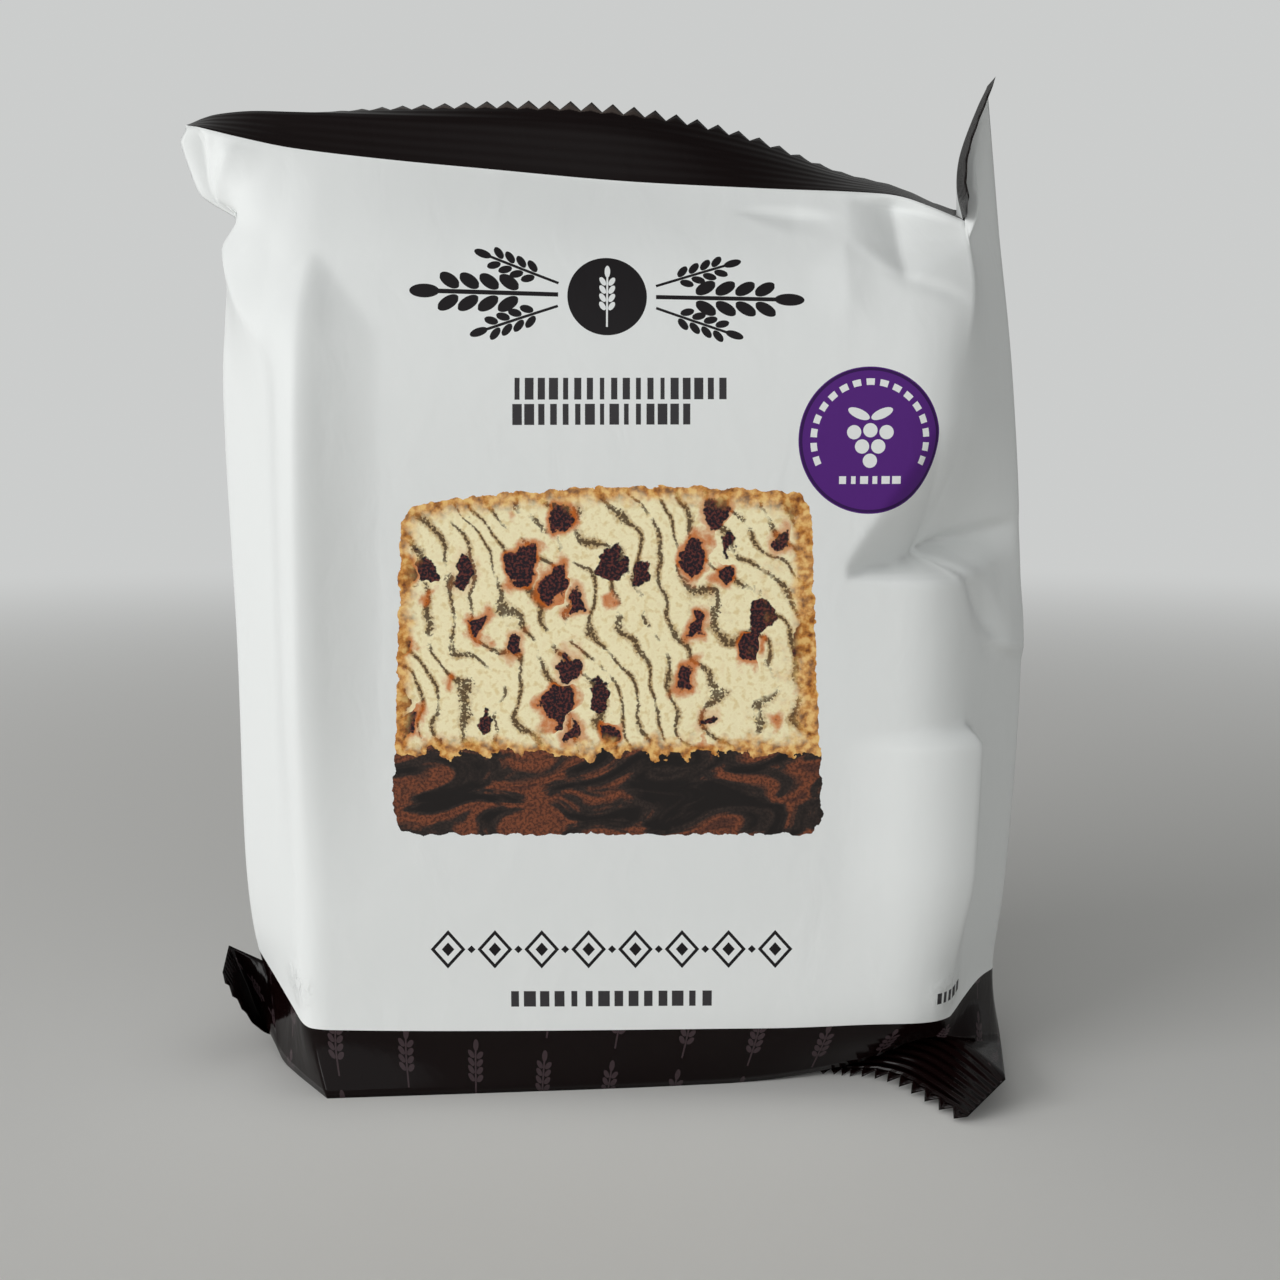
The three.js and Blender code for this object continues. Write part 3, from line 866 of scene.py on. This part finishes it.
# The crumb, with swirls of filling that are broken lines in a smear of their own colour.
CRUMB = ((0.3, ink(234, 214, 162)), (0.5, ink(251, 240, 198)), (0.7, ink(246, 232, 188)))
SWIRL = ink(78, 58, 38)
SWIRL_GRIT = 0.5
SWIRL_LINE = (0.89, 0.97)     # the crest of a wave that is a line
SWIRL_BREAKS = (0.34, 0.44)
SWIRL_STRENGTH = 0.9
SMEAR = ink(176, 140, 88)
SMEAR_EDGE = (0.55, 0.95)
SMEAR_BREAKS = (0.4, 0.6)
SMEAR_STRENGTH = 0.8

waves = art.add("TexWave", {
    "Vector": art.place(point, (9, 0), turn=24), "Scale": 0.09, "Distortion": 19, "Detail": 2.5,
    "Detail Scale": 0.75, "Detail Roughness": 0.45,
}, wave_type="BANDS", bands_direction="X")["Fac"]
grainy_waves = art.maths("MULTIPLY_ADD", centred_grit, SWIRL_GRIT, waves)
broken = art.noise(point, 0.2, 3)
swirl_line = art.both(art.fade(grainy_waves, *SWIRL_LINE), art.fade(broken, *SWIRL_BREAKS))
smeared = art.both(art.fade(grainy_waves, *SMEAR_EDGE), art.fade(broken, *SMEAR_BREAKS))
crumb = art.ramp(art.noise(point, 1.1, 4), CRUMB)
crumb = art.mixed(art.maths("MULTIPLY", smeared, SMEAR_STRENGTH), crumb, SMEAR)
crumb = art.mixed(art.maths("MULTIPLY", swirl_line, SWIRL_STRENGTH), crumb, SWIRL)

# The fruit, one piece in each cell that the draw leaves full, with a stain round some.
FRUIT = (ink(34, 27, 34), ink(98, 50, 46))
FRUIT_CELL = ((3, 1), (0.85, 1.3), -20)       # place, stretch and turn of the cells
FULL_CELL = 0.36      # a draw above this is a full cell
FRUIT_SHIFT = (4, 4, 0)
FRUIT_SIZE = 0.04
FRUIT_SPREAD = 0.3
FRUIT_RAGGED = 0.1
FRUIT_SKIN = (-0.02, 0.02)
FRUIT_GRIT = (0.46, 0.62)
STAIN = ink(200, 98, 22)
STAINED = (0.2, 0.6)  # the draw from a piece without a stain to one with it
STAIN_EDGE = (0.02, 0.2)
STAIN_STRENGTH = 0.85

shift = art.vectors("MULTIPLY_ADD", art.noise(point, 0.3, 2, output=1), FRUIT_SHIFT, point)
fruit_cells = art.add("TexVoronoi", {"Vector": art.place(shift, *FRUIT_CELL), "Scale": 0.155},
                      voronoi_dimensions="2D")
draw = art.add("SeparateColor", {"Color": fruit_cells["Color"]})
fruit_size = art.both(
    art.maths("GREATER_THAN", draw["Red"], FULL_CELL),
    art.maths("MULTIPLY_ADD", draw["Red"], FRUIT_SPREAD, FRUIT_SIZE),
)
fruit_out = art.maths("MULTIPLY_ADD", centred_grit, FRUIT_RAGGED,
                      art.maths("SUBTRACT", fruit_cells["Distance"], fruit_size))
stained = art.both(art.outside(fruit_out, *STAIN_EDGE), art.fade(draw["Green"], *STAINED))
crumb = art.mixed(art.maths("MULTIPLY", stained, STAIN_STRENGTH), crumb, STAIN)
fruit = art.mixed(art.fade(grit, *FRUIT_GRIT), *FRUIT)
crumb = art.mixed(art.outside(fruit_out, *FRUIT_SKIN), crumb, fruit)

# The crust, browned and a little wider on the right.
BROWNED = ((0.35, ink(240, 194, 118)), (0.52, ink(206, 138, 64)), (0.72, ink(120, 68, 34)))
CRUST_EDGE = (-1.6, 0.9)
CRUST_STRENGTH = 0.92
CRUST_UNEVEN = 2.6
RIGHT_CRUST = 1.4
RIGHT_SIDE = (14, 30)

browned = art.ramp(art.noise(point, 0.9, 4), BROWNED)
crust = art.maths("MULTIPLY_ADD", art.fade(aside, *RIGHT_SIDE), RIGHT_CRUST, face_out)
crust = art.maths("MULTIPLY_ADD", art.noise(point, 0.35, 3), CRUST_UNEVEN, crust)
crumb = art.mixed(art.maths("MULTIPLY", art.fade(crust, *CRUST_EDGE), CRUST_STRENGTH), crumb, browned)

# The baked side of the loaf, streaked along the dough.
SCORCHED = ink(34, 30, 29)
SCORCH_GRIT = (0.42, 0.6)
SCORCH_STRENGTH = 0.6
BAKED = ((0.4, SCORCHED), (0.5, ink(58, 48, 44)), (0.59, ink(134, 76, 52)), (0.7, ink(88, 54, 44)))
DOUGH = ((0, 0), (2, 0.9), 10)        # place, stretch and turn of its streaks

baked = art.ramp(art.noise(art.place(point, *DOUGH), 0.2, 6, 0.9), BAKED)
scorched = art.maths("MULTIPLY", art.fade(grit, *SCORCH_GRIT), SCORCH_STRENGTH)
baked = art.mixed(scorched, baked, SCORCHED)

# The dark film of the seals and the foot, with ears in a tone only a little lighter.
DARK_FOOT = print_heights[rows.index(PRINT_ROW)]
BAND_PLACE = (-3, -4.4)
BAND_TURN = -10
BAND_CELL = (9.5, 10)
BAND_EAR = ((0, 0.6), 1.1)    # place in its cell and size

dark = art.either(art.maths("LESS_THAN", height, DARK_FOOT), art.maths("GREATER_THAN", height, seal_top))
band = art.vectors("WRAP", art.place(point, BAND_PLACE, turn=BAND_TURN),
                   (BAND_CELL[0] / 2, BAND_CELL[1], 1), (-BAND_CELL[0] / 2, 0, -1))
band_ears = art.both(
    grain_ear(*BAND_EAR, on=band),
    art.maths("LESS_THAN", height, DARK_FOOT),
    art.maths("GREATER_THAN", height, -DEPTH / 2),
)

# Painted highlight: the strip along the upper cut edge is painted grey on the left, for the light its teeth
# catch there.
STRIP = 1.9
STRIP_EDGE = 0.5
STRIP_END = (-2, 9)
STRIP_STRENGTH = 0.5

strip_foot = seal_top + SEAL_HEIGHT - STRIP
painted_cut_highlight = art.both(
    art.fade(height, strip_foot, strip_foot + STRIP_EDGE),
    art.outside(around, *STRIP_END),
    STRIP_STRENGTH,
)

# The inks, each over those before it.
colour = WHITE_FILM
for mask, layer_ink in (
    (loaf_mask, baked),
    (face_mask, crumb),
    (art.either(disc, *sprays, row_ink), BLACK_INK),
    (disc_ear, WHITE_FILM),
    (bars, BAR_INK),
    (badge, PLUM_INK),
    (badge_rim, PLUM_RIM),
    (badge_white, WHITE_FILM),
    (dark, DARK_FILM),
    (band_ears, DARK_PATTERN),
    # the last is no ink but a painted highlight on the teeth of the upper cut edge
    (painted_cut_highlight, CUT_EDGE_HIGHLIGHT),
):
    colour = art.mixed(mask, colour, layer_ink)

# The white is matt, the dark ink is glossy, and both carry the fine crinkle of thin film.
SHINE = 0.16
WHITE_ROUGHNESS = 0.42
DARK_ROUGHNESS = 0.14
ROUGHNESS_SPREAD = 0.08
CRINKLE = 0.22
CRINKLE_STRENGTH = 0.5
RIB_PITCH = 1.5       # the crimp ribs run along the seals
RIB_HEIGHT = 0.2
FAINT_RIBS = 0.09     # share of that height on the upper seal, up to the pinch
RIBS_START = (0.4, 1.2)       # from the seal's root
RIBS_END = (10, 11)
STRONG_RIBS = (PINCH, PINCH + 2)      # where they set in at the right ear
CRUMPLE = 0.6
CRUMPLES = ((45.5, 13.5), (-46, 14))          # corners of the panel at the foot
CRUMPLE_SIZE = (5, 4)
CRUMPLE_EDGE = (0.2, 1)       # as shares of that size


def relief(distance, heights, strength=1, under=None):
    """The normals of fine relief, a distance in mm high at most, on the normals under it."""
    inputs = {"Strength": strength, "Distance": distance * MM, "Height": heights}
    if under is not None:
        inputs["Normal"] = under
    return art.add("Bump", inputs)[0]


crinkle = art.noise(art.place(point, (0, 0), (1, 1.6)), 0.16, 3, 0.4)
roughness = art.maths(
    "ADD",
    art.maths("MULTIPLY", dark, DARK_ROUGHNESS - WHITE_ROUGHNESS),
    art.maths("MULTIPLY_ADD", crinkle, ROUGHNESS_SPREAD, WHITE_ROUGHNESS - ROUGHNESS_SPREAD / 2),
)
from_root = art.either(art.maths("SUBTRACT", height, seal_top), art.maths("SUBTRACT", -DEPTH / 2, height))
ribs = art.both(
    art.fade(from_root, *RIBS_START),
    art.outside(from_root, *RIBS_END),
    art.either(art.maths("LESS_THAN", height, 0), art.fade(around, *STRONG_RIBS), FAINT_RIBS),
    art.maths("SINE", art.maths("MULTIPLY", from_root, 2 * pi / RIB_PITCH)),
)
corner_distances = [art.vectors("LENGTH", art.place(point, corner, CRUMPLE_SIZE)) for corner in CRUMPLES]
near_corner = art.either(*(art.outside(distance, *CRUMPLE_EDGE) for distance in corner_distances))
crumples = art.both(near_corner, art.noise(point, 0.55, 3, 0.8))
crinkled = relief(CRINKLE, crinkle, CRINKLE_STRENGTH)
ribbed = relief(RIB_HEIGHT, ribs, under=crinkled)
crumpled = relief(CRUMPLE, crumples, under=ribbed)
art.fill(film_material.node_tree.nodes["Principled BSDF"], {
    "Base Color": colour,
    "Roughness": roughness,
    "Specular IOR Level": SHINE,
    "Normal": crumpled,
})
pack_mesh.materials.append(film_material)

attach(pack, "root")
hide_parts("pack")
